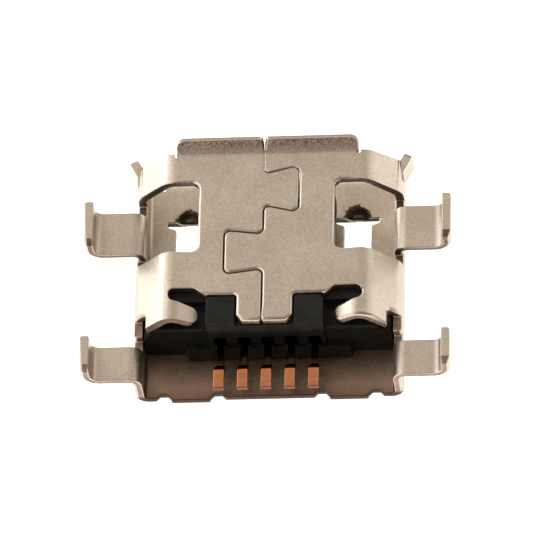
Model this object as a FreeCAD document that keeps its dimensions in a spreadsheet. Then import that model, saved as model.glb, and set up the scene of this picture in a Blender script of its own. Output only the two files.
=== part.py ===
import FreeCAD, Part
import math
import os

import Sketcher
from FreeCAD import Placement, Rotation, Vector

# Five-contact charging and data socket of a phone, sunk in its board, in millimetres.
# The origin is the centre of the wide plate's flat underside, the mouth is at +Y and the
# narrow plate with its dovetail seam is on top.

doc = FreeCAD.newDocument("ChargingSocket")
sheet = doc.addObject("Spreadsheet::Sheet", "Sizes")

driving_sizes = {
    # Folded shell
    "sheet_thickness": 0.25,
    "shell_width": 7.40,
    "shell_length": 6.46,
    "shell_height": 2.35,
    "wall_height": 1.40,
    "bevel_width": 0.91,
    "bend_radius": 0.10,
    "shoulder_radius": 0.30,
    "bevel_front_reach": 0.14,
    "brow_front_reach": 0.04,
    # Legs
    "board_height": 1.42,
    "leg_reach": 1.37,
    "tip_rise": 0.73,
    "tip_bend_radius": 0.25,
    "tip_chamfer": 0.16,
    "front_leg_set_back": 1.27,
    "front_leg_width": 1.31,
    "rear_leg_width": 1.04,
    # Side windows over the front legs
    "window_set_back": 0.87,
    "window_length": 2.12,
    "window_inset": 0.91,
    "window_corner": 0.20,
    "relief_height": 1.00,
    # Dovetail seam
    "seam_gap": 0.02,
    "seam_shift": 0.08,
    "seam_chamfer": 0.05,
    "tab_corner": 0.16,
    "neck_corner": 0.14,
    "front_tab_set_back": 1.13,
    "front_tab_reach": 0.96,
    "front_tab_neck": 0.94,
    "front_tab_end": 1.42,
    "rear_tab_set_back": 3.04,
    "rear_tab_reach": 1.06,
    "rear_tab_neck": 1.06,
    "rear_tab_end": 1.34,
    # Narrow plate's rear edge
    "tongue_half_width": 0.78,
    "tongue_set_back": 5.17,
    "tongue_corner": 0.18,
    "notch_inset": 1.15,
    "notch_set_back": 4.36,
    "opening_inner_inset": 0.84,
    "opening_outer_inset": 0.13,
    "opening_set_back": 4.14,
    "opening_corner": 0.17,
    "band_set_back": 5.07,
    # Flaps that hold the housing
    "flap_angle": 30.0,
    "flap_crease_inset": 0.34,
    "flap_end_inset": 0.93,
    "flap_set_back": 4.47,
    "flap_slant": 0.18,
    "flap_corner": 0.20,
    # Slits between the walls and the bevels
    "slit_set_back": 4.62,
    "slit_inset": 0.40,
    "slit_floor": 1.27,
    # Flared lips of the mouth
    "lip_angle": 45.0,
    "lip_length": 0.41,
    "lip_bend_radius": 0.20,
    "lip_corner": 0.22,
    "narrow_lip_inset": 0.27,
    "wide_lip_inset": 0.65,
    "lip_split": 0.14,
    "lip_relief": 0.06,
    "side_lip_angle": 27.0,
    "side_lip_length": 0.55,
    "side_lip_bend_radius": 0.30,
    "side_lip_set_back": 0.16,
    "side_lip_low": 0.60,
    "side_lip_high": 1.40,
    "side_lip_relief": 0.03,
    "side_lip_corner": 0.16,
    # Latch holes and ramps in the wide plate
    "latch_inset": 1.35,
    "latch_bar_width": 1.22,
    "latch_bar_set_back": 1.00,
    "latch_bar_depth": 0.14,
    "latch_shoulder": 0.09,
    "latch_stem_width": 0.75,
    "latch_stem_length": 1.30,
    "ramp_radius": 0.36,
    "ramp_floor_radius": 0.20,
    "ramp_depth": 0.18,
    # Notches and stubs where the carrier strip was cut off
    "carrier_notch_inner": 1.43,
    "carrier_notch_inset": 0.77,
    "carrier_stub": 0.06,
    "carrier_notch_width": 0.20,
    "carrier_notch_depth": 0.11,
    # Moulded housing
    "fit_clearance": 0.03,
    "block_set_back": 3.95,
    "block_length": 1.18,
    "block_shoulder": 0.42,
    "block_foot_radius": 0.16,
    "post_rear": 5.21,
    "post_top": 2.30,
    "post_corner": 0.12,
    "sole_half_width": 2.28,
    "sole_rear": 5.33,
    "plastic_tongue_width": 3.60,
    "plastic_tongue_low": 0.72,
    "plastic_tongue_tip": 0.75,
    "plastic_tongue_chamfer": 0.12,
    # Contacts
    "contact_pitch": 0.65,
    "contact_width": 0.29,
    "contact_thickness": 0.15,
    "contact_top": 1.33,
    "contact_tip": 1.00,
    "contact_run_top": 1.10,
    "contact_run_width": 0.21,
    "contact_step": 4.45,
    "tail_start": 6.12,
    "tail_end": 6.76,
    "joggle_length": 0.18,
    "contact_bend_radius": 0.05,
}

contact_count = 5

for row, (alias, value) in enumerate(driving_sizes.items(), start=1):
    sheet.set(f"A{row}", alias)
    sheet.set(f"B{row}", str(value))
    sheet.setAlias(f"B{row}", alias)
doc.recompute()


class Size:
    """A length or angle as a number, together with the sheet expression that gives it."""

    def __init__(self, value, text):
        self.value = value
        self.text = text

    def __add__(self, other):
        other = as_size(other)
        return Size(self.value + other.value, f"({self.text} + {other.text})")

    def __sub__(self, other):
        other = as_size(other)
        return Size(self.value - other.value, f"({self.text} - {other.text})")

    def __mul__(self, other):
        other = as_size(other)
        return Size(self.value * other.value, f"({self.text} * {other.text})")

    def __truediv__(self, other):
        other = as_size(other)
        return Size(self.value / other.value, f"({self.text} / {other.text})")

    def __neg__(self):
        return self * -1


def as_size(number):
    if isinstance(number, Size):
        return number
    return Size(float(number), f"({float(number)})")


def sine(angle):
    return Size(math.sin(math.radians(angle.value)), f"sin({angle.text} * 1 deg)")


def cosine(angle):
    return Size(math.cos(math.radians(angle.value)), f"cos({angle.text} * 1 deg)")


def tangent(angle):
    return Size(math.tan(math.radians(angle.value)), f"tan({angle.text} * 1 deg)")


def slope_angle(rise, run):
    degrees = math.degrees(math.atan(rise.value / run.value))
    return Size(degrees, f"(atan({rise.text} / {run.text}) / 1 deg)")


def size(alias):
    return Size(driving_sizes[alias], f"Sizes.{alias}")


thickness = size("sheet_thickness")
half_width = size("shell_width") / 2
height = size("shell_height")
length = size("shell_length")
mouth = length / 2
inner_bend = size("bend_radius")
outer_bend = inner_bend + thickness
shoulder_bend = size("shoulder_radius") + thickness
brow_x = half_width - size("bevel_width")
bevel_angle = slope_angle(height - size("wall_height"), size("bevel_width"))


def behind_mouth(alias):
    """The Y of a line that lies the named distance behind the mouth's edge."""
    return mouth - size(alias)


def inside_brow(alias):
    """The X of a line that lies the named distance inside the narrow plate's right edge."""
    return brow_x - size(alias)


def inside_wall(alias):
    """The X of a line that lies the named distance inside the right wall's outer face."""
    return half_width - size(alias)


def new_body(name):
    body = doc.addObject("PartDesign::Body", name)
    body.Label = name
    return body


def new_sketch(body, role, name, offset, along=0):
    """A sketch on one of the body's own planes, moved along that plane's normal and its first axis."""
    sketch = body.newObject("Sketcher::SketchObject", name)
    plane = next(item for item in body.Origin.OriginFeatures if item.Role == role)
    sketch.AttachmentSupport = [(plane, "")]
    sketch.MapMode = "FlatFace"
    offset = as_size(offset)
    along = as_size(along)
    sketch.AttachmentOffset = Placement(Vector(along.value, 0, offset.value), Rotation())
    sketch.setExpression("AttachmentOffset.Base.x", along.text)
    sketch.setExpression("AttachmentOffset.Base.z", offset.text)
    return sketch


def name_last_constraint(sketch, index, name, amount):
    sketch.renameConstraint(index, name)
    sketch.setExpression(f"Constraints.{name}", amount.text)


def outline(sketch, corners, prefix="p"):
    """A closed outline: each corner is (x, y) or (x, y, radius), and each value is a Size."""
    places = [(as_size(corner[0]), as_size(corner[1])) for corner in corners]
    vectors = [Vector(x.value, y.value, 0) for x, y in places]
    first = sketch.GeometryCount
    count = len(corners)
    for index in range(count):
        line = Part.LineSegment(vectors[index], vectors[(index + 1) % count])
        sketch.addGeometry(line, False)
    for index in range(count):
        follower = first + (index + 1) % count
        sketch.addConstraint(Sketcher.Constraint("Coincident", first + index, 2, follower, 1))
    for index, (x, y) in enumerate(places):
        line = first + index
        added = sketch.addConstraint(Sketcher.Constraint("DistanceX", -1, 1, line, 1, x.value))
        name_last_constraint(sketch, added, f"{prefix}x{index}", x)
        added = sketch.addConstraint(Sketcher.Constraint("DistanceY", -1, 1, line, 1, y.value))
        name_last_constraint(sketch, added, f"{prefix}y{index}", y)
    for index, corner in enumerate(corners):
        if len(corner) == 3:
            radius = as_size(corner[2])
            arc = sketch.GeometryCount
            sketch.fillet(first + index, 1, radius.value, True, True)
            added = sketch.addConstraint(Sketcher.Constraint("Radius", arc, radius.value))
            name_last_constraint(sketch, added, f"{prefix}r{index}", radius)
    return sketch


def mirrored(corners, side):
    """The same corners on the +X side (side 1) or the -X side (side -1)."""
    return [(as_size(corner[0]) * side,) + tuple(corner[1:]) for corner in corners]


def both_sides(sketch, corners):
    """The same outline on the +X side and on the -X side."""
    outline(sketch, mirrored(corners, 1), "right")
    return outline(sketch, mirrored(corners, -1), "left")


def pad(body, sketch, name, amount, midplane=False):
    feature = body.newObject("PartDesign::Pad", name)
    feature.Profile = sketch
    feature.Length = amount.value
    feature.setExpression("Length", amount.text)
    feature.Midplane = midplane
    return feature


def pocket(body, sketch, name, amount, midplane=False):
    """A cut that must take material away."""
    doc.recompute()
    before = body.Tip.Shape.Volume
    feature = body.newObject("PartDesign::Pocket", name)
    feature.Profile = sketch
    feature.Length = amount.value
    feature.setExpression("Length", amount.text)
    feature.Midplane = midplane
    doc.recompute()
    if feature.Shape.isNull() or feature.Shape.Volume >= before - 1e-6:
        raise RuntimeError(f"{name} takes nothing away")
    return feature


def groove(body, sketch, name):
    """A round dish, turned about the sketch's upright axis."""
    doc.recompute()
    feature = body.newObject("PartDesign::Groove", name)
    feature.Profile = sketch
    feature.ReferenceAxis = (sketch, ["V_Axis"])
    feature.Angle = 360
    doc.recompute()


def nearest_edges(shape, points):
    """The names of the edges that pass through the given points."""
    names = []
    for point in points:
        place = Part.Vertex(Vector(*[as_size(value).value for value in point]))
        gaps = [edge.distToShape(place)[0] for edge in shape.Edges]
        names.append(f"Edge{gaps.index(min(gaps)) + 1}")
    return sorted(set(names))


def dress(body, kind, name, property_name, amount, points):
    """A fillet or chamfer on the edges that pass through the given points."""
    doc.recompute()
    base = body.Tip
    names = nearest_edges(base.Shape, points)
    feature = body.newObject(f"PartDesign::{kind}", name)
    feature.Base = (base, names)
    setattr(feature, property_name, amount.value)
    feature.setExpression(property_name, amount.text)
    return feature


def section_corners(inset, foot, knee, brow):
    """The shell's trapezoid section, moved inwards by the inset, with a radius for each bend."""
    wall = half_width - inset
    top = height - inset
    knee_z = size("wall_height") - tangent((as_size(90) - bevel_angle) / 2) * inset
    top_x = brow_x - tangent(bevel_angle / 2) * inset
    return [
        (wall, inset, foot),
        (wall, knee_z, knee),
        (top_x, top, brow),
        (-top_x, top, brow),
        (-wall, knee_z, knee),
        (-wall, inset, foot),
    ]


def fold_shell(body):
    """The sheet folded round the mouth, open at both ends and as long as the bevels' front reach."""
    front = mouth + size("bevel_front_reach")
    section = section_corners(as_size(0), outer_bend, shoulder_bend, shoulder_bend)
    profile = outline(new_sketch(body, "XZ_Plane", "FoldedSection", -front), section)
    pad(body, profile, "FoldedBlock", front + mouth)
    doc.recompute()
    block = body.Tip
    ends = []
    for index, face in enumerate(block.Shape.Faces, start=1):
        place = face.CenterOfMass.y
        if min(abs(place - front.value), abs(place + mouth.value)) < 1e-6:
            ends.append(f"Face{index}")
    hollow = body.newObject("PartDesign::Thickness", "FoldedSheet")
    hollow.Base = (block, ends)
    hollow.Value = thickness.value
    hollow.setExpression("Value", thickness.text)
    hollow.Reversed = True
    hollow.Mode = 0
    hollow.Join = 0
    doc.recompute()


def cut_from_above(body, name, corners, floor, draw=both_sides):
    """Cuts an outline, drawn from above, down to the given floor."""
    top = height + thickness
    sketch = draw(new_sketch(body, "XY_Plane", name + "Outline", top), corners)
    return pocket(body, sketch, name, top - floor)


def trim_front(body):
    """Takes the front back to the mouth's edge, but leaves the bevels, whose edges slope forward."""
    front = mouth + size("bevel_front_reach")
    ahead = front + thickness
    aside = half_width + thickness
    lower = [(-aside, mouth), (aside, mouth), (aside, ahead), (-aside, ahead)]
    top = size("side_lip_high") + size("side_lip_relief")
    sketch = outline(new_sketch(body, "XY_Plane", "LowerFrontOutline", top), lower)
    pocket(body, sketch, "LowerFront", height)
    edge = inside_brow("narrow_lip_inset")
    slope_start = mouth + size("brow_front_reach")
    upper = [
        (-edge, mouth),
        (edge, mouth),
        (edge, slope_start),
        (half_width, front),
        (aside, ahead),
        (-aside, ahead),
        (-half_width, front),
        (-edge, slope_start),
    ]
    cut_from_above(body, "UpperFront", upper, size("relief_height"), outline)


def cut_windows(body):
    far = behind_mouth("window_set_back")
    near = far - size("window_length")
    inner = inside_brow("window_inset")
    beyond = half_width + thickness
    corner = size("window_corner")
    corners = [(inner, near, corner), (beyond, near), (beyond, far), (inner, far, corner)]
    cut_from_above(body, "Windows", corners, size("relief_height"))


def cut_rear_edge(body):
    """The narrow plate's rear edge, with a notch for each post and an opening before each flap."""
    tongue = size("tongue_half_width")
    tongue_rear = behind_mouth("tongue_set_back")
    chamfer = size("tongue_corner")
    notch = behind_mouth("notch_set_back")
    opening = behind_mouth("opening_set_back")
    band = behind_mouth("band_set_back")
    notch_outer = inside_brow("notch_inset")
    outer = inside_brow("opening_outer_inset")
    rounding = size("opening_corner")
    beyond = half_width + thickness
    past_rear = -mouth - thickness
    corners = [
        (tongue - chamfer, past_rear),
        (tongue - chamfer, tongue_rear),
        (tongue, tongue_rear + chamfer),
        (tongue, notch, inner_bend),
        (notch_outer, notch),
        (inside_brow("opening_inner_inset"), opening, rounding),
        (outer, opening, rounding),
        (outer, band),
        (beyond, band),
        (beyond, past_rear),
    ]
    cut_from_above(body, "RearEdge", corners, size("relief_height"))
    end = [
        (-tongue, past_rear),
        (tongue, past_rear),
        (tongue, tongue_rear),
        (-tongue, tongue_rear),
    ]
    cut_from_above(body, "TongueEnd", end, size("relief_height"), outline)


def cut_slits(body):
    """A slit at each knee, so that the flap's band can spring in past the wall."""
    front = behind_mouth("slit_set_back")
    rear = behind_mouth("band_set_back") - thickness
    beyond = half_width + thickness
    inner = inside_wall("slit_inset")
    corners = [(inner, rear), (beyond, rear), (beyond, front), (inner, front, inner_bend)]
    cut_from_above(body, "Slits", corners, size("slit_floor"))


def add_leg_pair(body, name, front, width):
    """Two legs bent out of the walls, with their tips bent up to stand in the board's slots."""
    wall_inner = half_width - thickness
    leg_top = size("board_height")
    leg_bottom = leg_top - thickness
    tip_outer = half_width + size("leg_reach")
    tip_inner = tip_outer - thickness
    tip_end = leg_top + size("tip_rise")
    root = size("relief_height") - thickness
    tip_radius = size("tip_bend_radius")
    corners = [
        (wall_inner, root),
        (half_width, root),
        (half_width, leg_bottom, inner_bend),
        (tip_outer, leg_bottom, tip_radius + thickness),
        (tip_outer, tip_end),
        (tip_inner, tip_end),
        (tip_inner, leg_top, tip_radius),
        (wall_inner, leg_top, outer_bend),
    ]
    sketch = new_sketch(body, "XZ_Plane", name + "Profile", -front)
    pad(body, both_sides(sketch, corners), name, width)


def add_legs(body):
    front = behind_mouth("front_leg_set_back")
    rear = -mouth + size("rear_leg_width")
    add_leg_pair(body, "FrontLegs", front, size("front_leg_width"))
    add_leg_pair(body, "RearLegs", rear, size("rear_leg_width"))
    tip_x = half_width + size("leg_reach") - thickness / 2
    tip_z = size("board_height") + size("tip_rise")
    points = []
    for side in (1, -1):
        points.append((tip_x * side, front - size("front_leg_width"), tip_z))
        points.append((tip_x * side, -mouth, tip_z))
    dress(body, "Chamfer", "TipChamfers", "Size", size("tip_chamfer"), points)


def add_dovetail(body, name, side, middle, reach, neck, end):
    """A socket cut in one half of the narrow plate, and the other half's tab in it."""
    gap = size("seam_gap")
    corner = size("tab_corner")
    curve = size("neck_corner")
    seam = -size("seam_shift") * side
    socket_edge = seam + gap / 2
    socket_front = middle + neck / 2 + gap
    socket_rear = middle - neck / 2 - gap
    socket = [
        (seam, socket_rear - curve * 2),
        (socket_edge, socket_rear - curve * 2),
        (socket_edge, socket_rear, curve),
        (seam + reach + gap, middle - end / 2 - gap, corner + gap),
        (seam + reach + gap, middle + end / 2 + gap, corner + gap),
        (socket_edge, socket_front, curve),
        (socket_edge, socket_front + curve * 2),
        (seam, socket_front + curve * 2),
    ]
    cut_from_above(body, name + "Socket", mirrored(socket, side), height - thickness * 2, outline)
    tab_edge = seam - gap / 2
    tab_front = middle + neck / 2
    tab_rear = middle - neck / 2
    tab = [
        (seam - gap, tab_rear - curve * 2),
        (tab_edge, tab_rear - curve * 2),
        (tab_edge, tab_rear, curve + gap),
        (seam + reach, middle - end / 2, corner),
        (seam + reach, middle + end / 2, corner),
        (tab_edge, tab_front, curve + gap),
        (tab_edge, tab_front + curve * 2),
        (seam - gap, tab_front + curve * 2),
    ]
    sketch = new_sketch(body, "XY_Plane", name + "TabOutline", height - thickness)
    pad(body, outline(sketch, mirrored(tab, side)), name + "Tab", thickness)


def cut_seam(body):
    """The joint in the narrow plate: a slit with two dovetails across it and a small V at its rear."""
    seam = -size("seam_shift")
    left = seam - size("seam_gap") / 2
    right = seam + size("seam_gap") / 2
    spread = size("seam_chamfer")
    rear = behind_mouth("tongue_set_back")
    beyond = mouth + size("lip_length") + thickness
    slit = [
        (left - spread, -beyond),
        (right + spread, -beyond),
        (right + spread, rear),
        (right, rear + spread),
        (right, beyond),
        (left, beyond),
        (left, rear + spread),
        (left - spread, rear),
    ]
    cut_from_above(body, "Seam", slit, height - thickness * 2, outline)
    add_dovetail(
        body, "FrontDovetail", 1, behind_mouth("front_tab_set_back"),
        size("front_tab_reach"), size("front_tab_neck"), size("front_tab_end"),
    )
    add_dovetail(
        body, "RearDovetail", -1, behind_mouth("rear_tab_set_back"),
        size("rear_tab_reach"), size("rear_tab_neck"), size("rear_tab_end"),
    )


def add_flaps(body):
    """The flaps bent down from the rear band's brows into the housing's pockets."""
    angle = size("flap_angle")
    opening = inside_brow("opening_outer_inset")
    rounding = size("opening_corner")
    crease = inside_brow("flap_crease_inset")
    end = inside_brow("flap_end_inset")
    drop = (crease - end) * tangent(angle)
    root = brow_x + thickness
    root_z = height - thickness * tangent(bevel_angle)
    front = behind_mouth("flap_set_back")
    rear = behind_mouth("band_set_back")
    corners = [
        (root, root_z),
        (brow_x, height, shoulder_bend),
        (crease, height, outer_bend),
        (end, height - drop),
        (end + thickness * sine(angle), height - drop - thickness * cosine(angle)),
        (crease + thickness * tangent(angle / 2), height - thickness, inner_bend),
        (brow_x - thickness * tangent(bevel_angle / 2), height - thickness, size("shoulder_radius")),
        (root - thickness * sine(bevel_angle), root_z - thickness * cosine(bevel_angle)),
    ]
    ahead = front + rounding + size("fit_clearance")
    inner = end - size("fit_clearance")
    slant = [
        (opening, ahead),
        (opening, front, rounding),
        (inner, front - size("flap_slant")),
        (inner, ahead),
    ]
    middle = height - drop - thickness * cosine(angle) / 2
    end_x = end + thickness * sine(angle) / 2
    sketch = both_sides(new_sketch(body, "XZ_Plane", "FlapProfile", -(front + rounding)), corners)
    pad(body, sketch, "Flaps", front + rounding - rear)
    cut_from_above(body, "FlapSlants", slant, size("relief_height"))
    slope = size("flap_slant") / (opening - inner)
    slanted = front - slope * (opening - end_x)
    points = []
    for side in (1, -1):
        points.append((end_x * side, rear, middle))
        points.append((end_x * side, slanted, middle))
    dress(body, "Fillet", "FlapCorners", "Radius", size("flap_corner"), points)


def lip_corners(surface, outward):
    """A lip in side view: the sheet leaves the mouth's edge and bends away from the mouth."""
    angle = size("lip_angle")
    reach = size("lip_length")
    bend = size("lip_bend_radius")
    end_y = mouth + reach * cosine(angle)
    end_z = surface + reach * sine(angle) * outward
    inner_z = surface - thickness * outward
    return [
        (mouth - thickness, surface),
        (mouth, surface, bend),
        (end_y, end_z),
        (end_y + thickness * sine(angle), end_z - thickness * cosine(angle) * outward),
        (mouth + thickness * tangent(angle / 2), inner_z, bend + thickness),
        (mouth - thickness, inner_z),
    ]


def flare_mouth(body):
    """A lip on the narrow plate and one on the wide plate, bent outwards to guide the plug in."""
    narrow_edge = inside_brow("narrow_lip_inset")
    wide_edge = inside_wall("wide_lip_inset")
    upper = outline(new_sketch(body, "YZ_Plane", "NarrowLipProfile", 0), lip_corners(height, 1))
    pad(body, upper, "NarrowLip", narrow_edge * 2, midplane=True)
    lower = outline(new_sketch(body, "YZ_Plane", "WideLipProfile", 0), lip_corners(as_size(0), -1))
    pad(body, lower, "WideLip", wide_edge * 2, midplane=True)
    angle = size("lip_angle")
    end_y = mouth + size("lip_length") * cosine(angle) + thickness * sine(angle) / 2
    rise = size("lip_length") * sine(angle) - thickness * cosine(angle) / 2
    points = []
    for side in (1, -1):
        points.append((narrow_edge * side, end_y, height + rise))
        points.append((wide_edge * side, end_y, -rise))
    dress(body, "Fillet", "LipCorners", "Radius", size("lip_corner"), points)
    seam = -size("seam_shift")
    half_gap = size("seam_gap") / 2
    split = size("lip_split")
    below = height - thickness * 2
    above = height + size("lip_length")
    corners = [
        (seam - half_gap, below),
        (seam + half_gap, below),
        (seam + half_gap, height),
        (seam + split, above),
        (seam - split, above),
        (seam - half_gap, height),
    ]
    sketch = outline(new_sketch(body, "XZ_Plane", "LipSplitOutline", -mouth), corners)
    pocket(body, sketch, "LipSplit", length / 2)
    relief = size("lip_relief")
    spot = [
        (narrow_edge - relief, mouth - relief, relief / 2),
        (narrow_edge + relief, mouth - relief, relief / 2),
        (narrow_edge + relief, mouth + thickness),
        (narrow_edge, mouth + thickness),
        (narrow_edge, mouth),
        (narrow_edge - relief, mouth),
    ]
    cut_from_above(body, "LipReliefs", spot, size("relief_height"))


def flare_walls(body):
    """The side lips, each bent out of its wall between two small reliefs."""
    angle = size("side_lip_angle")
    reach = size("side_lip_length")
    bend = behind_mouth("side_lip_set_back")
    bend_radius = size("side_lip_bend_radius")
    hinge = bend - bend_radius * tangent(angle / 2)
    low = size("side_lip_low")
    high = size("side_lip_high")
    relief = size("side_lip_relief")
    wall_inner = half_width - thickness
    beyond = half_width + thickness
    end_x = half_width + reach * sine(angle)
    end_y = bend + reach * cosine(angle)
    lip = [
        (wall_inner, bend - thickness),
        (wall_inner, bend + thickness * tangent(angle / 2), bend_radius + thickness),
        (end_x - thickness * cosine(angle), end_y + thickness * sine(angle)),
        (end_x, end_y),
        (half_width, bend, bend_radius),
        (half_width, bend - thickness),
    ]
    inner = wall_inner - inner_bend
    slot = [(inner, hinge), (beyond, hinge), (beyond, mouth + thickness), (inner, mouth + thickness)]
    sketch = new_sketch(body, "XY_Plane", "WallSlotOutline", high + relief)
    pocket(body, both_sides(sketch, slot), "WallSlots", high - low + relief * 2)
    sketch = new_sketch(body, "XY_Plane", "WallLipProfile", low)
    pad(body, both_sides(sketch, lip), "WallLips", high - low)
    middle_x = end_x - thickness * cosine(angle) / 2
    middle_y = end_y + thickness * sine(angle) / 2
    points = []
    for side in (1, -1):
        points.append((middle_x * side, middle_y, low))
        points.append((middle_x * side, middle_y, high))
    dress(body, "Fillet", "WallLipCorners", "Radius", size("side_lip_corner"), points)


def cut_latches(body):
    """A hole with a cross bar for each spring hook of the plug, and a ramp that leads to it."""
    middle = inside_wall("latch_inset")
    bar = size("latch_bar_width") / 2
    stem = size("latch_stem_width") / 2
    front = behind_mouth("latch_bar_set_back")
    rear = front - size("latch_bar_depth")
    shoulder = rear - size("latch_shoulder")
    end = front - size("latch_stem_length")
    radius = size("ramp_radius")
    corners = [
        (middle - bar, front),
        (middle + bar, front),
        (middle + bar, rear),
        (middle + stem, shoulder),
        (middle + stem, end),
        (middle - stem, end),
        (middle - stem, shoulder),
        (middle - bar, rear),
    ]
    sketch = new_sketch(body, "XY_Plane", "LatchOutline", thickness)
    pocket(body, both_sides(sketch, corners), "Latches", thickness * 2)
    floor = thickness - size("ramp_depth")
    ramp = [
        (0, floor),
        (size("ramp_floor_radius"), floor),
        (radius, thickness),
        (radius, thickness * 2),
        (0, thickness * 2),
    ]
    for side, name in ((1, "RightRamp"), (-1, "LeftRamp")):
        profile = new_sketch(body, "XZ_Plane", name + "Profile", -front, middle * side)
        groove(body, outline(profile, ramp), name)


def finish_rear_edge(body):
    """The wide plate's rear edge: two stubs of the carrier strip, each between two small notches."""
    depth = size("carrier_notch_depth")
    floor_half = size("carrier_notch_width") / 2
    mouth_half = floor_half + depth
    rear = -mouth
    inner = size("carrier_notch_inner")
    outer = inside_wall("carrier_notch_inset")
    stub = [
        (inner, rear + thickness),
        (inner, rear - size("carrier_stub")),
        (outer, rear - size("carrier_stub")),
        (outer, rear + thickness),
    ]
    sketch = new_sketch(body, "XY_Plane", "StubOutline", 0)
    pad(body, both_sides(sketch, stub), "CarrierStubs", thickness)
    for middle, name in ((inner, "InnerNotches"), (outer, "OuterNotches")):
        corners = [
            (middle - mouth_half, rear),
            (middle - floor_half, rear + depth),
            (middle + floor_half, rear + depth),
            (middle + mouth_half, rear),
            (middle + mouth_half, rear - thickness),
            (middle - mouth_half, rear - thickness),
        ]
        sketch = new_sketch(body, "XY_Plane", name + "Outline", thickness)
        pocket(body, both_sides(sketch, corners), name, thickness * 2)


def build_shell():
    body = new_body("shell")
    fold_shell(body)
    trim_front(body)
    cut_windows(body)
    cut_rear_edge(body)
    cut_slits(body)
    add_legs(body)
    flare_mouth(body)
    cut_seam(body)
    add_flaps(body)
    flare_walls(body)
    cut_latches(body)
    finish_rear_edge(body)
    return body


def build_housing():
    """The moulded insulator: block, tongue, two posts and the pockets for flaps and contacts."""
    body = new_body("housing")
    clearance = size("fit_clearance")
    seat = thickness + clearance
    front = behind_mouth("block_set_back")
    rear = front - size("block_length")
    brow = size("shoulder_radius") - clearance
    section = section_corners(seat, size("block_foot_radius"), size("block_shoulder"), brow)
    sketch = outline(new_sketch(body, "XZ_Plane", "BlockSection", -front), section)
    pad(body, sketch, "Block", size("block_length"))

    sole = size("sole_half_width")
    run_floor = size("contact_run_top") - size("contact_thickness")
    sole_corners = [(-sole, seat), (sole, seat), (sole, run_floor), (-sole, run_floor)]
    sketch = outline(new_sketch(body, "XZ_Plane", "SoleSection", -front), sole_corners)
    pad(body, sketch, "Sole", size("sole_rear") - size("block_set_back"))

    post_inner = size("tongue_half_width") + clearance
    post_outer = inside_brow("notch_inset") - clearance
    post_front = behind_mouth("notch_set_back") - clearance
    post_rear = behind_mouth("post_rear")
    centre = [
        (-post_outer, post_rear),
        (post_outer, post_rear),
        (post_outer, front),
        (-post_outer, front),
    ]
    sketch = outline(new_sketch(body, "XY_Plane", "CentreOutline", seat), centre)
    pad(body, sketch, "Centre", height - seat * 2)
    post = [
        (post_inner, post_front, clearance * 2),
        (post_outer, post_front, size("post_corner")),
        (post_outer, post_rear),
        (post_inner, post_rear),
    ]
    sketch = both_sides(new_sketch(body, "XY_Plane", "PostOutline", seat), post)
    pad(body, sketch, "Posts", size("post_top") - seat)

    contact_floor = size("contact_top") - size("contact_thickness")
    tongue_half = size("plastic_tongue_width") / 2
    tongue_top = contact_floor + size("contact_thickness") / 2
    tip = behind_mouth("plastic_tongue_tip")
    chamfer = size("plastic_tongue_chamfer")
    low = size("plastic_tongue_low")
    sketch = new_sketch(body, "YZ_Plane", "TongueProfile", 0)
    profile = [
        (front - clearance, low),
        (tip - chamfer, low),
        (tip, low + chamfer),
        (tip, tongue_top - chamfer),
        (tip - chamfer, tongue_top),
        (front - clearance, tongue_top),
    ]
    pad(body, outline(sketch, profile), "Tongue", tongue_half * 2, midplane=True)
    doc.recompute()

    flap_front = behind_mouth("flap_set_back") + clearance
    flap_run = size("flap_end_inset") - size("flap_crease_inset")
    flap_drop = flap_run * tangent(size("flap_angle"))
    flap_low = height - flap_drop - thickness * cosine(size("flap_angle"))
    top = height + thickness
    flap_room = [
        (post_outer, flap_front),
        (half_width, flap_front),
        (half_width, rear - thickness),
        (post_outer, rear - thickness),
    ]
    sketch = both_sides(new_sketch(body, "XY_Plane", "FlapPocketOutline", top), flap_room)
    pocket(body, sketch, "FlapPockets", top - flap_low + clearance)

    slot_half = size("contact_width") / 2 + clearance / 2
    first = -size("contact_pitch") * (contact_count - 1) / 2
    contact_tip = behind_mouth("contact_tip")
    sketch = new_sketch(body, "YZ_Plane", "ContactSlotProfile", first)
    slot = [
        (contact_tip + clearance, contact_floor),
        (contact_tip + clearance, size("contact_top") + clearance),
        (behind_mouth("sole_rear") - clearance, size("contact_top") + clearance),
        (behind_mouth("sole_rear") - clearance, run_floor),
        (front - clearance, run_floor),
        (front - clearance, contact_floor),
    ]
    cut = pocket(body, outline(sketch, slot), "ContactSlot", slot_half * 2, midplane=True)
    row = body.newObject("PartDesign::LinearPattern", "ContactSlots")
    row.Originals = [cut]
    row.Direction = (sketch, ["N_Axis"])
    row.Occurrences = contact_count
    row.Length = size("contact_pitch").value * (contact_count - 1)
    row.setExpression("Length", (size("contact_pitch") * (contact_count - 1)).text)
    body.Tip = row
    doc.recompute()
    return body


def contact_profile():
    """A contact in side view: from its tip on the tongue, down in the block, and up to its tail."""
    thin = size("contact_thickness")
    top = size("contact_top")
    run_top = size("contact_run_top")
    tail_top = size("board_height")
    tip = behind_mouth("contact_tip")
    step = behind_mouth("contact_step")
    step_end = step - (top - run_top)
    joggle_end = behind_mouth("tail_start")
    joggle = joggle_end + size("joggle_length")
    tail = behind_mouth("tail_end")
    lean = thin / 2
    tight = size("contact_bend_radius")
    loose = tight + thin
    return [
        (tip, top),
        (tip, top - thin),
        (step - lean, top - thin, tight),
        (step_end - lean, run_top - thin, loose),
        (joggle - lean, run_top - thin, loose),
        (joggle_end - lean, tail_top - thin, tight),
        (tail, tail_top - thin),
        (tail, tail_top),
        (joggle_end, tail_top, loose),
        (joggle, run_top, tight),
        (step_end, run_top, tight),
        (step, top, loose),
    ]


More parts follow.
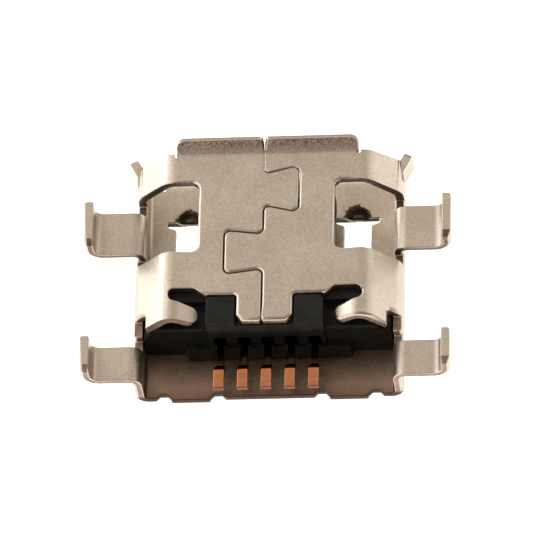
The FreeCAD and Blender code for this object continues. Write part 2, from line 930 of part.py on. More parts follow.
def build_contact(index):
    body = new_body(f"contact_{index + 1}")
    place = size("contact_pitch") * (index - (contact_count - 1) / 2)
    sketch = outline(new_sketch(body, "YZ_Plane", f"ContactProfile{index + 1}", place), contact_profile())
    pad(body, sketch, f"ContactStrip{index + 1}", size("contact_width"), midplane=True)
    waist = size("contact_run_width") / 2
    aside = size("contact_width")
    front = behind_mouth("sole_rear")
    rear = behind_mouth("tail_start") + size("joggle_length")
    sketch = new_sketch(body, "XY_Plane", f"WaistOutline{index + 1}", size("contact_top"))
    for side, prefix in ((1, "right"), (-1, "left")):
        corners = [
            (place + waist * side, front),
            (place + aside * side, front),
            (place + aside * side, rear),
            (place + waist * side, rear, size("contact_bend_radius")),
        ]
        outline(sketch, corners, prefix)
    pocket(body, sketch, f"Waist{index + 1}", size("contact_top") / 2)
    return body


def check_document():
    for item in doc.Objects:
        if "Invalid" in item.State or "Error" in item.State:
            raise RuntimeError(f"{item.Label} is {item.State}")


def write_parts(bodies):
    os.makedirs("parts", exist_ok=True)
    for body in bodies:
        shape = body.Shape
        if shape.isNull() or not shape.isValid() or len(shape.Solids) != 1:
            raise RuntimeError(f"{body.Label} is not one valid solid")
        shape.exportStep(f"parts/{body.Label}.step")
        box = shape.BoundBox
        print(
            f"{body.Label}: {shape.Volume:.4f} mm3,"
            f" x {box.XMin:.3f}..{box.XMax:.3f},"
            f" y {box.YMin:.3f}..{box.YMax:.3f},"
            f" z {box.ZMin:.3f}..{box.ZMax:.3f}"
        )


bodies = [build_shell(), build_housing()]
bodies += [build_contact(index) for index in range(contact_count)]
doc.recompute()
check_document()
write_parts(bodies)
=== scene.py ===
import math

import bmesh
import bpy
from mathutils import Matrix, Vector
from mathutils.bvhtree import BVHTree
from mathutils.geometry import barycentric_transform, intersect_line_line_2d, intersect_point_line
from mathutils.kdtree import KDTree


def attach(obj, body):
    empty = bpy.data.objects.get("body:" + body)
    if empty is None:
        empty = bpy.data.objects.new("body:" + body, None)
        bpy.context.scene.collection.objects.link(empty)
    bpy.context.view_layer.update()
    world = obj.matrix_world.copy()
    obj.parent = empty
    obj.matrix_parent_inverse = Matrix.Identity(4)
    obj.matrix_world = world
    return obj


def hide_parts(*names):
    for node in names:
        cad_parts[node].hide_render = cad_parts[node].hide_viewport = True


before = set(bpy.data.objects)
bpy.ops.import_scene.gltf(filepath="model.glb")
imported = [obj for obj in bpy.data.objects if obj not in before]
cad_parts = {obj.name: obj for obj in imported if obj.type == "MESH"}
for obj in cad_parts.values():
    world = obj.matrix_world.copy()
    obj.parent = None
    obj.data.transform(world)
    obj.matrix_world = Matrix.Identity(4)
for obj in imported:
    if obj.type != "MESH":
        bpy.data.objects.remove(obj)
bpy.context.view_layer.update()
print("frame loaded")

mm = 0.001
scene = bpy.context.scene
scene.view_settings.view_transform = "Standard"


# Camera, from behind and above

cameraView = {
    "azimuth": 11.181,
    "elevation": 62.0,
    "roll": -11.341,
    "distance": 191.1 * mm,
    "pixelsPerMetre": 36314.0,
    "pictureWidth": 550,
    "target": (0.0, 0.03 * mm, 1.2 * mm),
    "targetPixel": (269.02, 274.85),
    "sensorWidth": 36.0,
    "seenDepth": (0.01, 10.0),
}


def makeCamera(settings):
    azimuth = math.radians(settings["azimuth"])
    elevation = math.radians(settings["elevation"])
    roll = math.radians(settings["roll"])
    back = Vector((
        math.sin(azimuth) * math.cos(elevation),
        -math.cos(azimuth) * math.cos(elevation),
        math.sin(elevation),
    ))
    levelRight = Vector((math.cos(azimuth), math.sin(azimuth), 0.0))
    levelUp = back.cross(levelRight)
    right = math.cos(roll) * levelRight + math.sin(roll) * levelUp
    up = -math.sin(roll) * levelRight + math.cos(roll) * levelUp
    middle = settings["pictureWidth"] / 2
    scale = settings["pixelsPerMetre"]
    aim = Vector(settings["target"])
    aim += right * ((middle - settings["targetPixel"][0]) / scale)
    aim -= up * ((middle - settings["targetPixel"][1]) / scale)
    camera = bpy.data.objects.new("camera", bpy.data.cameras.new("camera"))
    scene.collection.objects.link(camera)
    turn = Matrix((right, up, back)).transposed().to_4x4()
    camera.matrix_world = Matrix.Translation(aim + back * settings["distance"]) @ turn
    camera.data.sensor_width = settings["sensorWidth"]
    camera.data.lens = settings["sensorWidth"] * scale * settings["distance"] / settings["pictureWidth"]
    camera.data.clip_start, camera.data.clip_end = settings["seenDepth"]
    scene.camera = camera


makeCamera(cameraView)
print("camera placed")


# Helpers for node trees

def newTree(owner):
    owner.use_nodes = True
    owner.node_tree.nodes.clear()
    return owner.node_tree


def feed(tree, node, inputs):
    # Each input is set to its value, or linked where that is another node's output
    for name, value in inputs.items():
        if isinstance(value, bpy.types.NodeSocket):
            tree.links.new(value, node.inputs[name])
        else:
            node.inputs[name].default_value = value


def addNode(tree, kind, inputs=None, **settings):
    node = tree.nodes.new(kind)
    for name, value in settings.items():
        setattr(node, name, value)
    feed(tree, node, inputs or {})
    return node


def reckoned(tree, operation, *values):
    return addNode(tree, "ShaderNodeMath", dict(enumerate(values)), operation=operation).outputs["Value"]


def spread(tree, value, low, high, start=0.3, end=0.7):
    # Goes from low to high as the value goes from start to end, between which most of a noise lies
    inputs = {"Value": value, "From Min": start, "From Max": end, "To Min": low, "To Max": high}
    return addNode(tree, "ShaderNodeMapRange", inputs).outputs["Result"]


def mixed(tree, share, first, second, kind="MIX"):
    inputs = {"Factor": share, "A": first, "B": second}
    return addNode(tree, "ShaderNodeMix", inputs, data_type="RGBA", blend_type=kind).outputs["Result"]


def solid(colour):
    return (*colour, 1.0)


def split(tree, place):
    return addNode(tree, "ShaderNodeSeparateXYZ", {"Vector": place}).outputs


def noise(tree, place, grain, detail, roughness):
    inputs = {"Vector": place, "Scale": 1.0 / grain, "Detail": detail, "Roughness": roughness}
    return addNode(tree, "ShaderNodeTexNoise", inputs).outputs["Fac"]


# Materials: each noise is its grain, its octaves and the strength of the finer ones

nickelLook = {
    "light": (0.69, 0.61, 0.525),
    "dark": (0.59, 0.51, 0.43),
    "patch": (0.9 * mm, 4.0, 0.6),
    "grain": (0.055 * mm, 1.0, 0.5),
    "grainContrast": 0.22,
    "smoothest": 0.33,
    "roughest": 0.43,
    "bumpDepth": 0.004 * mm,
    "bumpStrength": 0.25,
    "paintedShadesAndTints": (
        # painted shade: the rear of the wide plate is darker and browner, as where walls and housing shade
        # it and light bounces between the metal
        {  # the rear of the wide plate
            "colour": (0.66, 0.53, 0.47),
            "where": (("Y", -1.75 * mm, -2.0 * mm), ("Z", 0.75 * mm, 0.40 * mm)),
        },
        # painted shade at the rear edge, standing in for the shadow on the floor beside it
        {  # its rear edge
            "colour": (0.62, 0.56, 0.53),
            "where": (("Y", -2.9 * mm, -3.25 * mm), ("Z", 0.50 * mm, 0.30 * mm)),
        },
        {  # the speckled lip of the narrow plate
            "colour": (0.42, 0.30, 0.25),
            "where": (("Z", 2.34 * mm, 2.52 * mm),),
            "mottle": (0.06 * mm, 4.0, 0.7),
            "mottleRange": (0.40, 0.62),
        },
        # painted shade: the inside of each dish is darkened within a ragged rim
        {  # the dish in front of each latch hole
            "colour": (0.20, 0.145, 0.12),
            "where": (("Z", 0.5 * mm, 0.4 * mm),),
            "middle": (2.335 * mm, 2.23 * mm),
            "rim": (0.36 * mm, 0.42 * mm),
            "rag": (0.22 * mm, 3.0, 0.8),
            "ragDepth": 0.077 * mm,
        },
    ),
}

rolledLook = {
    "light": (0.64, 0.57, 0.49),
    "dark": (0.54, 0.47, 0.40),
    "patch": (0.3 * mm, 4.0, 0.6),
    "grain": (0.045 * mm, 1.0, 0.5),
    "grainContrast": 0.10,
    "smoothest": 0.26,
    "roughest": 0.38,
    "bumpDepth": 0.003 * mm,
    "bumpStrength": 0.2,
    "paintedShadesAndTints": (
        # painted shade at the rear edge, standing in for the shadow on the floor beside it
        {  # the wide plate's rear edge
            "colour": (0.16, 0.11, 0.09),
            "where": (("Y", -3.0 * mm, -3.1 * mm), ("Z", 0.40 * mm, 0.30 * mm)),
        },
    ),
}

shearedLook = {
    "light": (0.44, 0.335, 0.275),
    "dark": (0.25, 0.18, 0.14),
    "patch": (0.12 * mm, 4.0, 0.6),
    "grain": (0.03 * mm, 1.0, 0.5),
    "grainContrast": 0.25,
    "smoothest": 0.38,
    "roughest": 0.60,
    "bumpDepth": 0.008 * mm,
    "bumpStrength": 0.4,
    "paintedShadesAndTints": (
        # painted shade at the rear edge, standing in for the shadow on the floor beside it
        {  # the wide plate's rear edge
            "colour": (0.22, 0.18, 0.16),
            "where": (("Y", -3.0 * mm, -3.1 * mm), ("Z", 0.40 * mm, 0.30 * mm)),
        },
        {  # all in front of the slits
            "colour": (0.62, 0.60, 0.58),
            "where": (("Y", -1.25 * mm, -1.15 * mm),),
        },
        # painted shade: the sheared front end of each latch hole, inside the dish, is darkened
        {  # the front end of each latch hole
            "colour": (0.16, 0.14, 0.13),
            "where": (("Y", 2.0 * mm, 2.1 * mm), ("Y", 2.4 * mm, 2.3 * mm), ("Z", 0.4 * mm, 0.3 * mm)),
        },
    ),
}

copperLook = {
    "light": (0.64, 0.275, 0.14),
    "dark": (0.50, 0.19, 0.085),
    "patch": (0.15 * mm, 4.0, 0.6),
    "grain": (0.03 * mm, 1.0, 0.5),
    "grainContrast": 0.08,
    "smoothest": 0.08,
    "roughest": 0.16,
    "bumpDepth": 0.002 * mm,
    "bumpStrength": 0.2,
    "paintedShadesAndTints": (
        # painted shade: the runs are darkened nearly to black, as if in the housing's shadow
        {  # the runs between the housing and the tails
            "colour": (0.09, 0.10, 0.12),
            "where": (("Y", -2.89 * mm, -2.86 * mm), ("Y", -1.7 * mm, -1.9 * mm)),
        },
        # darker ends: partly their sheared, unplated metal, partly painted shade over the floor's
        # reflection in them
        {  # the tails' ends
            "colour": (0.30, 0.25, 0.24),
            "where": (("Y", -3.50 * mm, -3.525 * mm),),
        },
    ),
}


def newMaterial(name):
    material = bpy.data.materials.new(name)
    tree = newTree(material)
    shader = addNode(tree, "ShaderNodeBsdfPrincipled")
    addNode(tree, "ShaderNodeOutputMaterial", {"Surface": shader.outputs["BSDF"]})
    place = addNode(tree, "ShaderNodeTexCoord").outputs["Object"]
    return material, tree, shader, place


def twoTones(tree, place, look):
    patches = noise(tree, place, *look["patch"])
    return mixed(tree, spread(tree, patches, 0.0, 1.0), solid(look["dark"]), solid(look["light"]))


def roughen(tree, shader, grains, look):
    bump = {"Height": grains, "Distance": look["bumpDepth"], "Strength": look["bumpStrength"]}
    feed(tree, shader, {
        "Roughness": spread(tree, grains, look["smoothest"], look["roughest"]),
        "Normal": addNode(tree, "ShaderNodeBump", bump).outputs["Normal"],
    })


def within(tree, place, ranges):
    # 1 where each coordinate has passed the second of its two places, 0 where one is short of the first
    axes = split(tree, place)
    share = 1.0
    for axis, start, end in ranges:
        share = reckoned(tree, "MULTIPLY", share, spread(tree, axes[axis], 0.0, 1.0, start, end))
    return share


def withinRim(tree, place, tint):
    # 1 within a round spot with a ragged rim, on the left and on the right
    axes = split(tree, place)
    side = {"X": reckoned(tree, "ABSOLUTE", axes["X"]), "Y": axes["Y"]}
    ends = {0: addNode(tree, "ShaderNodeCombineXYZ", side).outputs["Vector"], 1: (*tint["middle"], 0.0)}
    distance = addNode(tree, "ShaderNodeVectorMath", ends, operation="DISTANCE").outputs["Value"]
    rag = spread(tree, noise(tree, place, *tint["rag"]), -tint["ragDepth"], tint["ragDepth"])
    return spread(tree, reckoned(tree, "ADD", distance, rag), 1.0, 0.0, *tint["rim"])


def tintShare(tree, place, tint):
    share = within(tree, place, tint["where"])
    if "mottle" in tint:
        mottles = noise(tree, place, *tint["mottle"])
        share = reckoned(tree, "MULTIPLY", share, spread(tree, mottles, 0.0, 1.0, *tint["mottleRange"]))
    if "rim" in tint:
        share = reckoned(tree, "MULTIPLY", share, withinRim(tree, place, tint))
    return share


def metal(name, look):
    material, tree, shader, place = newMaterial(name)
    grains = noise(tree, place, *look["grain"])
    dull = 1.0 - look["grainContrast"]
    colours = twoTones(tree, place, look)
    colours = mixed(tree, spread(tree, grains, 1.0, 0.0), colours, solid((dull, dull, dull)), "MULTIPLY")
    # Each tint multiplies the colour within its mask; most of them are painted shade
    for tint in look["paintedShadesAndTints"]:
        colours = mixed(tree, tintShare(tree, place, tint), colours, solid(tint["colour"]), "MULTIPLY")
    feed(tree, shader, {"Base Color": colours, "Metallic": 1.0})
    roughen(tree, shader, grains, look)
    return material


plasticLook = {
    "light": (0.014, 0.014, 0.012),
    "dark": (0.006, 0.006, 0.005),
    "patch": (0.5 * mm, 3.0, 0.6),
    "grain": (0.03 * mm, 2.0, 0.6),
    "smoothest": 0.42,
    "roughest": 0.60,
    "gloss": 0.22,
    "shadedFootGloss": 0.03,
    "shadedFoot": (("Y", -1.5 * mm, -1.7 * mm), ("Z", 1.85 * mm, 1.60 * mm)),
    "bumpDepth": 0.004 * mm,
    "bumpStrength": 0.4,
}


def mouldedPlastic(name, look):
    # Painted shade: the foot below the rear posts reflects less, so it renders darker than the posts, as if
    # in shade
    material, tree, shader, place = newMaterial(name)
    foot = within(tree, place, look["shadedFoot"])
    feed(tree, shader, {
        "Base Color": twoTones(tree, place, look),
        "Specular IOR Level": spread(tree, foot, look["gloss"], look["shadedFootGloss"], 0.0, 1.0),
    })
    roughen(tree, shader, noise(tree, place, *look["grain"]), look)
    return material


nickelSheet = metal("nickelSheet", nickelLook)
rolledEdge = metal("rolledEdge", rolledLook)
shearedEdge = metal("shearedEdge", shearedLook)
blackMoulding = mouldedPlastic("blackMoulding", plasticLook)
mouldedEdge = mouldedPlastic("mouldedEdge", {**plasticLook, "smoothest": 0.32, "roughest": 0.45})
contactPlating = metal("contactPlating", copperLook)
print("materials made")


# Stamped and moulded pieces: a copy of the node gets rounded edges and the node's own smooth bends

sheetSlot = 0
edgeSlot = 1  # the rounded edges of every piece
cutSlot = 2  # the sheared faces of the shell
seamSlot = 3  # marks the seam's own faces while the shell is rounded
levelNormal = 0.99  # steepness of the normal of a level face
upwardNormal = 0.9  # steepness of the normal of a cut face that points up, as a bent-up tip's end does
sameWeight = 0.01  # two widths that differ by less, as shares of the widest, are the same

roundingRules = {
    "mergeWithin": 0.0001 * mm,
    "flatAngle": 0.3,
    "chainBend": 35,
    "smallestLoop": 0.05 * mm,
    "strayReach": 1.8,  # in widths of the widest rounding
    "calmReach": 1.5,  # in the edge's own widths
    "calmSlack": 0.1,  # in widths of the widest rounding
    "normalInset": 0.002 * mm,
    "sameFace": 0.9,  # cosine between two faces that count as one
    "sameBend": 0.8,  # cosine between a face and the smooth normal that it may take
}


def mergedCopy(node, settings):
    mesh = bmesh.new()
    mesh.from_mesh(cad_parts[node].data)
    bmesh.ops.remove_doubles(mesh, verts=mesh.verts, dist=settings["mergeWithin"])
    return mesh


def markCutFaces(mesh, settings):
    # A face of the sheet has the sheet's other side straight behind it, and a sheared face hasn't
    tree = BVHTree.FromBMesh(mesh)
    thickness = settings["sheetThickness"]
    for face in mesh.faces:
        middle = face.calc_center_median()
        step = face.normal * settings["rayStart"]
        behind = tree.ray_cast(middle - step, -face.normal, 2.0 * thickness)[3]
        ahead = tree.ray_cast(middle + step, face.normal, settings["seamWidth"])[3]
        if behind is not None and abs(behind - thickness) < settings["thicknessSlack"]:
            face.material_index = sheetSlot
        elif ahead is not None:
            face.material_index = seamSlot
        else:
            face.material_index = cutSlot


def outerSide(mesh, settings):
    # The sheet's outer side, reached from the wide plate's underside without crossing a sharp edge
    sharp = math.radians(settings["sharpAngle"])
    reached = set()
    waiting = []
    for face in mesh.faces:
        level = face.material_index == sheetSlot and face.normal.z < -levelNormal
        if level and face.calc_center_median().z < settings["undersideReach"]:
            waiting.append(face)
    while waiting:
        face = waiting.pop()
        if face in reached:
            continue
        reached.add(face)
        for edge in face.edges:
            if len(edge.link_faces) != 2 or edge.calc_face_angle(math.pi) > sharp:
                continue
            for neighbour in edge.link_faces:
                if neighbour.material_index == sheetSlot and neighbour not in reached:
                    waiting.append(neighbour)
    return reached


def besideSeam(edge):
    return any(face.material_index == seamSlot for face in edge.link_faces)


def besideWindow(edge, settings):
    low, high = settings["windowSpan"]
    start, end = edge.verts[0].co, edge.verts[1].co
    cut = any(face.material_index == cutSlot for face in edge.link_faces)
    return cut and low < start.y < high and low < end.y < high


def cutUpwards(face):
    return face.material_index == cutSlot and face.normal.z > upwardNormal


def splitWhere(mesh, chosen, measure, end):
    # Splits each chosen edge that has one corner short of the end and one past it, exactly at the end
    for edge in list(mesh.edges):
        first, second = edge.verts
        short, past = measure(first.co) - end, measure(second.co) - end
        if short * past < 0 and chosen(edge):
            bmesh.utils.edge_split(edge, first, short / (short - past))


def splitRolledEdges(mesh, settings):
    # The seam's rounding narrows towards both its ends, and a window's where the plate bends down
    for end in settings["seamRadii"]:
        splitWhere(mesh, besideSeam, lambda place: place.y, end)
    for end in settings["windowRadii"]:
        splitWhere(mesh, lambda edge: besideWindow(edge, settings), lambda place: abs(place.x), end)


def radiusAt(place, radii, beyond):
    for end, radius in radii.items():
        if place < end:
            return radius
    return beyond


def rolledRadius(edge, settings):
    middle = (edge.verts[0].co + edge.verts[1].co) / 2
    if besideSeam(edge):
        return radiusAt(middle.y, settings["seamRadii"], settings["edgeRadius"])
    if besideWindow(edge, settings):
        return radiusAt(abs(middle.x), settings["windowRadii"], settings["rollRadius"])
    return settings["rollRadius"]


def widestRadius(settings):
    return max(settings["rollRadius"], settings["edgeRadius"])


def setEdgeWeights(mesh, settings):
    # A punch rolls the sheet's outer edges, and leaves its inner edges and the tips' ends crisp
    weights = mesh.edges.layers.float.new("bevel_weight_edge")
    outer = outerSide(mesh, settings) if settings["rollRadius"] else set()
    for edge in mesh.edges:
        if len(edge.link_faces) != 2 or edge.calc_face_angle(0.0) < math.radians(settings["sharpAngle"]):
            continue
        rolled = any(face in outer for face in edge.link_faces)
        tip = any(cutUpwards(face) for face in edge.link_faces)
        radius = rolledRadius(edge, settings) if rolled and not tip else settings["edgeRadius"]
        edge[weights] = radius / widestRadius(settings)


def plateCutFaces(mesh, settings):
    # The seam's own faces and the ends of the bent-up tips look as the sheet does
    for face in mesh.faces:
        plated = cutUpwards(face) and face.calc_center_median().z > settings["platedAbove"]
        if face.material_index == seamSlot or plated:
            face.material_index = sheetSlot


def roundedDraft(draft, mesh):
    mesh.to_mesh(draft.data)
    draft.data.update()
    bpy.context.view_layer.update()
    return bpy.data.meshes.new_from_object(draft.evaluated_get(bpy.context.evaluated_depsgraph_get()))


def followingEdge(edge, vertex, weights, bend):
    # The rounded edge that runs on from this one, unless it turns a corner, changes width or meets others
    meeting = [other for other in vertex.link_edges if other[weights] > 0 and other is not edge]
    if len(meeting) != 1 or abs(meeting[0][weights] - edge[weights]) > sameWeight:
        return None
    ahead = meeting[0].other_vert(vertex).co - vertex.co
    behind = vertex.co - edge.other_vert(vertex).co
    return meeting[0] if ahead.angle(behind) < bend else None


def roundedChains(mesh, weights, bend):
    chains = {}
    for start in mesh.edges:
        if start[weights] == 0 or start in chains:
            continue
        chain = [start]
        chains[start] = chain
        for edge in chain:
            for vertex in edge.verts:
                other = followingEdge(edge, vertex, weights, bend)
                if other is not None and other not in chains:
                    chains[other] = chain
                    chain.append(other)
    return chains


def chainLength(chain):
    return sum(edge.calc_length() for edge in chain)


def crossings(mesh, settings):
    # Places where the outline of a face crosses itself, because two roundings meet there
    found = []
    for face in mesh.polygons:
        if face.material_index == edgeSlot or len(face.vertices) < 4:
            continue
        turn = face.normal.to_track_quat("Z", "Y").inverted()
        corners = [mesh.vertices[index].co for index in face.vertices]
        flat = [(turn @ corner).xy for corner in corners]
        count = len(flat)
        along = [0.0]
        for index in range(count):
            along.append(along[-1] + (flat[(index + 1) % count] - flat[index]).length)
        for first in range(count - 2):
            start, end = flat[first], flat[first + 1]
            left, right = min(start.x, end.x), max(start.x, end.x)
            low, high = min(start.y, end.y), max(start.y, end.y)
            for second in range(first + 2, count - (first == 0)):
                here, there = flat[second], flat[(second + 1) % count]
                if max(here.x, there.x) < left or min(here.x, there.x) > right:
                    continue
                if max(here.y, there.y) < low or min(here.y, there.y) > high:
                    continue
                loop = along[second] - along[first + 1]
                if min(loop, along[-1] - loop) <= settings["smallestLoop"]:
                    continue
                if intersect_line_line_2d(start, end, here, there):
                    found.append((corners[first] + corners[second]) / 2)
    return found


def strayPlaces(mesh, rounded, weights, settings):
    # Places where a corner of the rounded mesh was thrown far from every edge and corner
    width = widestRadius(settings)
    places = [corner.co.copy() for corner in mesh.verts]
    for edge in mesh.edges:
        if edge[weights] > 0:
            start, end = edge.verts[0].co, edge.verts[1].co
            steps = int((end - start).length / width) + 1
            places += [start.lerp(end, (step + 0.5) / steps) for step in range(steps)]
    tree = KDTree(len(places))
    for index, place in enumerate(places):
        tree.insert(place, index)
    tree.balance()
    stray = set()
    for vertex in rounded.vertices:
        if tree.find(vertex.co)[2] > settings["strayReach"] * width:
            stray.add(vertex.index)
    found = []
    for edge in rounded.edges:
        first, second = edge.vertices
        if (first in stray) != (second in stray):
            found.append(rounded.vertices[second if first in stray else first].co)
    return found


def nearEdges(place, edges, weights, settings):
    near = []
    for edge in edges:
        start, end = edge.verts[0].co, edge.verts[1].co
        share = intersect_point_line(place, start, end)[1]
        nearest = start.lerp(end, min(max(share, 0.0), 1.0))
        reach = settings["calmReach"] * edge[weights] + settings["calmSlack"]
        if (nearest - place).length < reach * widestRadius(settings):
            near.append(edge)
    return near


def calmEdges(mesh, rounded, settings):
    # Where roundings meet in too little room, the widest of them gets narrower, and then stays sharp
    weights = mesh.edges.layers.float["bevel_weight_edge"]
    crisp = settings["edgeRadius"] / widestRadius(settings)
    chains = roundedChains(mesh, weights, math.radians(settings["chainBend"]))
    calmed = []
    for place in crossings(rounded, settings) + strayPlaces(mesh, rounded, weights, settings):
        near = nearEdges(place, chains, weights, settings)
        if near:
            widest = max(edge[weights] for edge in near)
            shortest = min((chains[edge] for edge in near if edge[weights] == widest), key=chainLength)
            if shortest not in calmed:
                calmed.append(shortest)
    for chain in calmed:
        for edge in chain:
            edge[weights] = crisp if edge[weights] > crisp + sameWeight else 0.0
    return bool(calmed)


def addPiece(name, mesh):
    piece = bpy.data.objects.new(name, mesh)
    scene.collection.objects.link(piece)
    return piece


def roundEdges(name, mesh, materials, settings):
    draft = addPiece(name + "Draft", bpy.data.meshes.new(name + "Draft"))
    for material in materials:
        draft.data.materials.append(material)
    bevel = draft.modifiers.new("edges", "BEVEL")
    bevel.limit_method = "WEIGHT"
    bevel.offset_type = "OFFSET"
    bevel.width = widestRadius(settings)
    bevel.segments = settings["edgeSegments"]
    bevel.use_clamp_overlap = False
    bevel.loop_slide = False
    bevel.material = edgeSlot
    finished = roundedDraft(draft, mesh)
    while calmEdges(mesh, finished, settings):
        bpy.data.meshes.remove(finished)
        finished = roundedDraft(draft, mesh)
    mesh.free()
    finished.name = name
    bpy.data.objects.remove(draft)
    return finished


def nodeNormal(tree, source, point, face, settings):
    # The node's own normal at a point of one of its faces
    nearer = point + (face.center - point).normalized() * settings["normalInset"]
    flat, index = tree.find_nearest(nearer)[1:3]
    if flat.dot(face.normal) < settings["sameFace"]:
        return face.normal.copy()
    triangle = source.loop_triangles[index]
    corners = [source.vertices[vertex].co for vertex in triangle.vertices]
    normals = [source.corner_normals[loop].vector for loop in triangle.loops]
    normal = barycentric_transform(point, *corners, *normals).normalized()
    return normal if normal.dot(face.normal) > settings["sameBend"] else face.normal.copy()


def smoothBends(mesh, node, settings):
    # Bends shade as the node's do, and a rounded edge runs smoothly into the faces beside it
    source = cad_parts[node].data
    source.calc_loop_triangles()
    places = [vertex.co for vertex in source.vertices]
    tree = BVHTree.FromPolygons(places, [tuple(part.vertices) for part in source.loop_triangles])
    normals = [None] * len(mesh.loops)
    beside = {}
    rounded = {}
    for face in mesh.polygons:
        face.use_smooth = True
        for loop in face.loop_indices:
            vertex = mesh.loops[loop].vertex_index
            if face.material_index == edgeSlot:
                rounded.setdefault(vertex, Vector())
                rounded[vertex] += face.normal * face.area
            else:
                normals[loop] = nodeNormal(tree, source, mesh.vertices[vertex].co, face, settings)
                beside.setdefault(vertex, []).append(normals[loop])
    for face in mesh.polygons:
        if face.material_index != edgeSlot:
            continue
        for loop in face.loop_indices:
            vertex = mesh.loops[loop].vertex_index
            if vertex in beside:
                normals[loop] = max(beside[vertex], key=face.normal.dot)
            else:
                normals[loop] = rounded[vertex].normalized()
    mesh.normals_split_custom_set(normals)


def roundedCopy(name, node, materials, settings):
    mesh = mergedCopy(node, settings)
    folded = settings["rollRadius"] > 0
    if folded:
        markCutFaces(mesh, settings)
    flat = math.radians(settings["flatAngle"])
    bmesh.ops.dissolve_limit(
        mesh, angle_limit=flat, verts=mesh.verts, edges=mesh.edges, delimit={"MATERIAL"}
    )
    if folded:
        splitRolledEdges(mesh, settings)
    setEdgeWeights(mesh, settings)
    if folded:
        plateCutFaces(mesh, settings)
    finished = roundEdges(name, mesh, materials, settings)
    smoothBends(finished, node, settings)
    return finished


shellPiece = {
    **roundingRules,
    "edgeRadius": 0.03 * mm,
    "rollRadius": 0.10 * mm,
    "edgeSegments": 4,
    "sharpAngle": 50,
    "sheetThickness": 0.25 * mm,
    "thicknessSlack": 0.05 * mm,
    "rayStart": 0.001 * mm,
    "undersideReach": 0.02 * mm,
    "platedAbove": 1.35 * mm,
    "seamWidth": 0.03 * mm,
    # Radii up to each place along Y, and then edgeRadius
    "seamRadii": {-1.62 * mm: 0.03 * mm, -1.50 * mm: 0.05 * mm, 2.60 * mm: 0.08 * mm, 2.72 * mm: 0.05 * mm},
    # Radii up to each distance from the middle, and then rollRadius
    "windowRadii": {2.30 * mm: 0.09 * mm, 2.45 * mm: 0.06 * mm},
    "windowSpan": (0.0, 2.5 * mm),
}

shellMaterials = (nickelSheet, rolledEdge, shearedEdge)
shell = addPiece("foldedShell", roundedCopy("foldedShell", "shell", shellMaterials, shellPiece))
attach(shell, "root")
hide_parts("shell")
print("shell finished")

housingPiece = {
    **roundingRules,
    "edgeRadius": 0.035 * mm,
    "rollRadius": 0.0,
    "edgeSegments": 3,
    "sharpAngle": 40,
}

housingMesh = roundedCopy("mouldedHousing", "housing", (blackMoulding, mouldedEdge), housingPiece)
housing = addPiece("mouldedHousing", housingMesh)
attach(housing, "root")
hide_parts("housing")
print("housing finished")


# Contacts: one rounded strip, set in a row by Geometry Nodes

contactPiece = {
    **roundingRules,
    "nodes": ("contact_1", "contact_2", "contact_3", "contact_4", "contact_5"),
    "edgeRadius": 0.02 * mm,
    "rollRadius": 0.0,
    "edgeSegments": 3,
    "sharpAngle": 50,
}

rowInputs = {
    "Geometry": "NodeSocketGeometry",
    "Count": "NodeSocketInt",
    "Start": "NodeSocketVector",
    "Pitch": "NodeSocketVector",
}


def rowTree(name, material):
    tree = bpy.data.node_groups.new(name, "GeometryNodeTree")
    for title, kind in rowInputs.items():
        tree.interface.new_socket(name=title, in_out="INPUT", socket_type=kind)
    tree.interface.new_socket(name="Geometry", in_out="OUTPUT", socket_type="NodeSocketGeometry")
    given = addNode(tree, "NodeGroupInput").outputs
    line = {"Count": given["Count"], "Start Location": given["Start"], "Offset": given["Pitch"]}
    row = addNode(tree, "GeometryNodeMeshLine", line, mode="OFFSET").outputs["Mesh"]
    placed = addNode(tree, "GeometryNodeInstanceOnPoints", {"Points": row, "Instance": given["Geometry"]})
    real = addNode(tree, "GeometryNodeRealizeInstances", {"Geometry": placed.outputs["Instances"]})
    finish = {"Geometry": real.outputs["Geometry"], "Material": material}
    plated = addNode(tree, "GeometryNodeSetMaterial", finish)
    addNode(tree, "NodeGroupOutput", {"Geometry": plated.outputs["Geometry"]})
    return tree


def middleX(node):
    corners = [vertex.co.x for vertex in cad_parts[node].data.vertices]
    return (min(corners) + max(corners)) / 2


def makeContacts(settings):
    # The strip's edges have a slot of their own while it is rounded, though all of it is plated alike
    strips = settings["nodes"]
    pitch = (middleX(strips[-1]) - middleX(strips[0])) / (len(strips) - 1)
    strip = roundedCopy("contactStrip", strips[0], (contactPlating, contactPlating), settings)
    draft = addPiece("contactRowDraft", strip)
    tree = rowTree("contactRow", contactPlating)
    modifier = draft.modifiers.new("row", "NODES")
    modifier.node_group = tree
    values = {"Count": len(strips), "Start": (0.0, 0.0, 0.0), "Pitch": (pitch, 0.0, 0.0)}
    for item in tree.interface.items_tree:
        if item.in_out == "INPUT" and item.name in values:
            modifier[item.identifier] = values[item.name]
    finished = bpy.data.meshes.new_from_object(draft.evaluated_get(bpy.context.evaluated_depsgraph_get()))
    finished.name = "contactRow"
    bpy.data.objects.remove(draft)
    return addPiece("contactRow", finished)


contacts = makeContacts(contactPiece)
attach(contacts, "root")
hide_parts(*contactPiece["nodes"])
print("contacts finished")


# Floor, surroundings and lamps

floorSettings = {
    "size": 2.0,
    "gap": 0.005 * mm,
    "colour": (0.86, 0.86, 0.86),
    "lipReach": 3.52 * mm,
    "lipDrop": -0.29 * mm,
    "rearEdge": -3.29 * mm,
}


def makeFloor(settings):
    # The socket rests on its lower lip and on the wide plate's rear edge
    slope = -settings["lipDrop"] / (settings["rearEdge"] - settings["lipReach"])
    middle = (settings["rearEdge"] + settings["lipReach"]) / 2
    level = settings["lipDrop"] / 2 - settings["gap"]
    half = settings["size"] / 2
    corners = []
    for x, y in ((-half, -half), (half, -half), (half, half), (-half, half)):
        corners.append((x, y, level + slope * (y - middle)))
    data = bpy.data.meshes.new("floor")
    data.from_pydata(corners, [], [(0, 1, 2, 3)])
    data.materials.append(floorMaterial(settings["colour"]))
    floor = addPiece("floor", data)


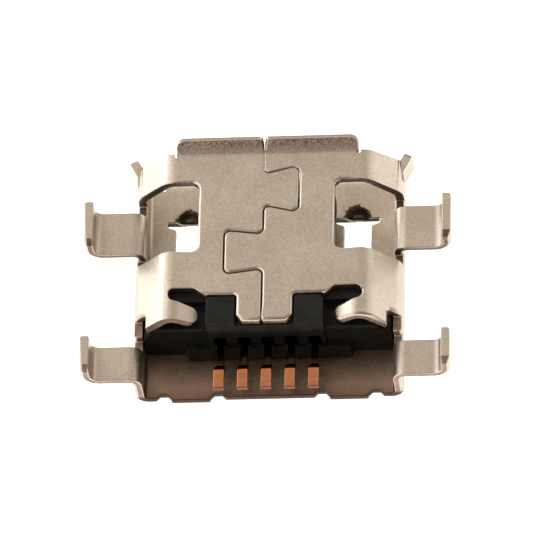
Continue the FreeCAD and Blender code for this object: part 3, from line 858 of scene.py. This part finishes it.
def floorMaterial(colour):
    # The floor glows to the camera and in reflections, and keeps the shadow
    material = bpy.data.materials.new("paleFloor")
    tree = newTree(material)
    rays = addNode(tree, "ShaderNodeLightPath").outputs
    seen = reckoned(tree, "MAXIMUM", rays["Is Camera Ray"], rays["Is Glossy Ray"])
    diffuse = addNode(tree, "ShaderNodeBsdfDiffuse", {"Color": solid(colour)})
    glow = addNode(tree, "ShaderNodeEmission", {"Strength": seen})
    parts = {0: diffuse.outputs["BSDF"], 1: glow.outputs["Emission"]}
    together = addNode(tree, "ShaderNodeAddShader", parts)
    addNode(tree, "ShaderNodeOutputMaterial", {"Surface": together.outputs["Shader"]})
    return material


makeFloor(floorSettings)

worldLook = {
    "low": (0.31, 0.25, 0.22),
    "high": (0.785, 0.705, 0.61),
    "highRange": (-0.5, 0.5),
    "side": (1.60, 1.56, 1.48),
    "sideRange": (-0.15, -0.60),
}


def makeWorld(look):
    # Dark behind the camera, bright beyond the mouth and brightest on the left, as beside a window
    scene.world = bpy.data.worlds.new("surroundings")
    tree = newTree(scene.world)
    axes = split(tree, addNode(tree, "ShaderNodeTexCoord").outputs["Generated"])
    ahead = spread(tree, axes["Y"], 0.0, 1.0, *look["highRange"])
    aside = spread(tree, axes["X"], 0.0, 1.0, *look["sideRange"])
    colours = mixed(tree, ahead, solid(look["low"]), solid(look["high"]))
    colours = mixed(tree, aside, colours, solid(look["side"]))
    background = addNode(tree, "ShaderNodeBackground", {"Color": colours})
    addNode(tree, "ShaderNodeOutputWorld", {"Surface": background.outputs["Background"]})


makeWorld(worldLook)

lamps = {
    "leftPanel": {"place": (-0.17, 0.09, 0.02), "size": 0.12, "power": 0.10},
    "rightPanel": {"place": (0.18, 0.07, 0.06), "size": 0.14, "power": 0.035},
}


def makeLamps(settings):
    for name, lamp in settings.items():
        data = bpy.data.lights.new(name, "AREA")
        data.shape = "SQUARE"
        data.size = lamp["size"]
        data.energy = lamp["power"]
        light = bpy.data.objects.new(name, data)
        light.location = lamp["place"]
        light.rotation_euler = (-Vector(lamp["place"])).to_track_quat("-Z", "Y").to_euler()
        scene.collection.objects.link(light)


makeLamps(lamps)
print("stage lit")
